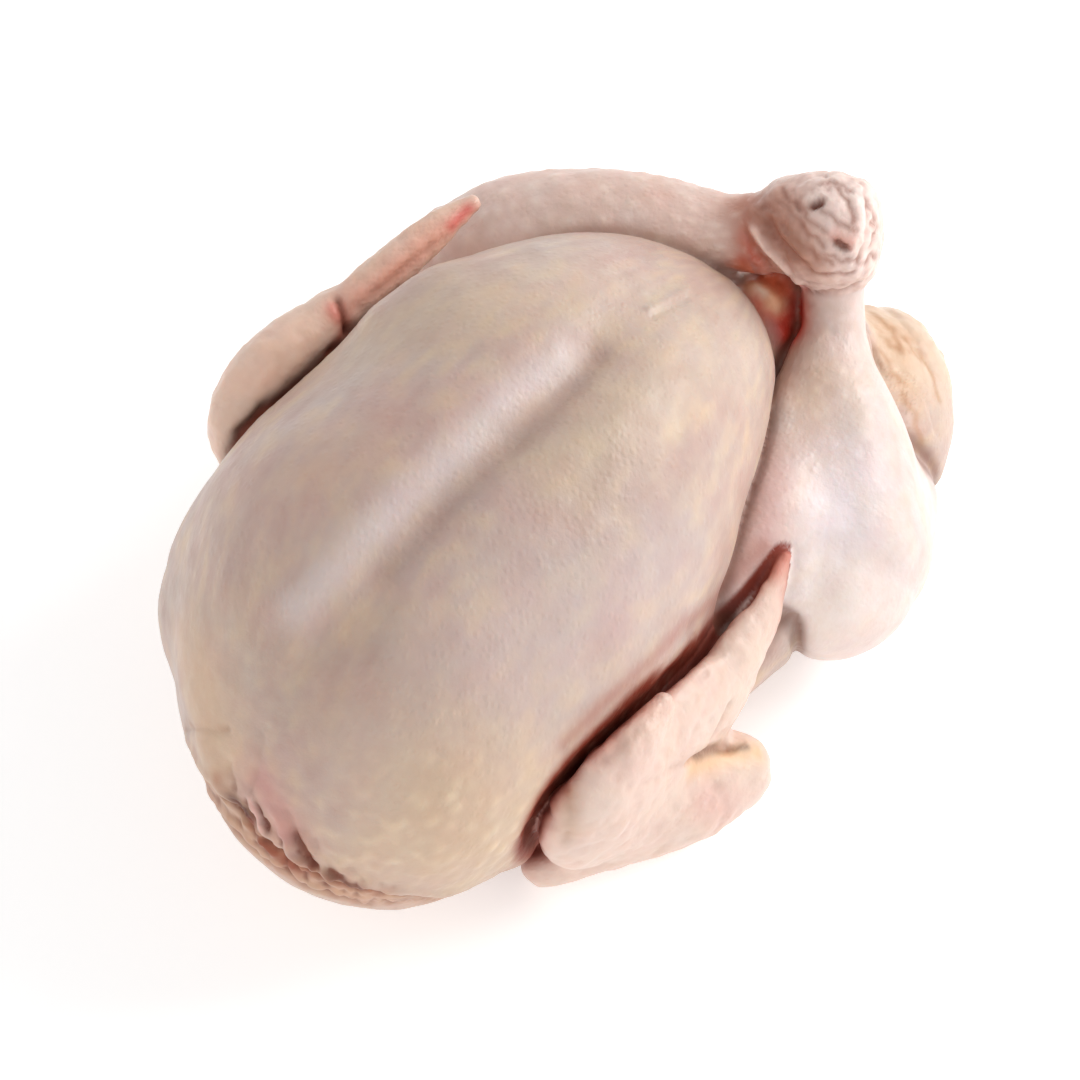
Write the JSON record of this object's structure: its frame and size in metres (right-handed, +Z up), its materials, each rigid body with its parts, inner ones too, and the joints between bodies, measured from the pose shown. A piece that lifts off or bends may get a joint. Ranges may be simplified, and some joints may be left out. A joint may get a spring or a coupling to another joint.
{
  "type": "whole raw turkey",
  "caption": "Whole raw plucked bird, breast up: two breast lobes with a keel groove, folded wings, drumsticks with hocks tucked over the tail.",
  "frame": {"origin": "middle of the bounding box on the plane the bird rests on", "axes": "+Z up through the breast, -Y towards the neck end, +Y towards the tail and hocks, +X the bird's own right side"},
  "size_m": [0.2506, 0.368, 0.1726],
  "materials": {
    "skin": "moist raw skin, satin"
  },
  "bodies": {
    "root": {"turkey": "skin"}
  },
  "joints": []
}
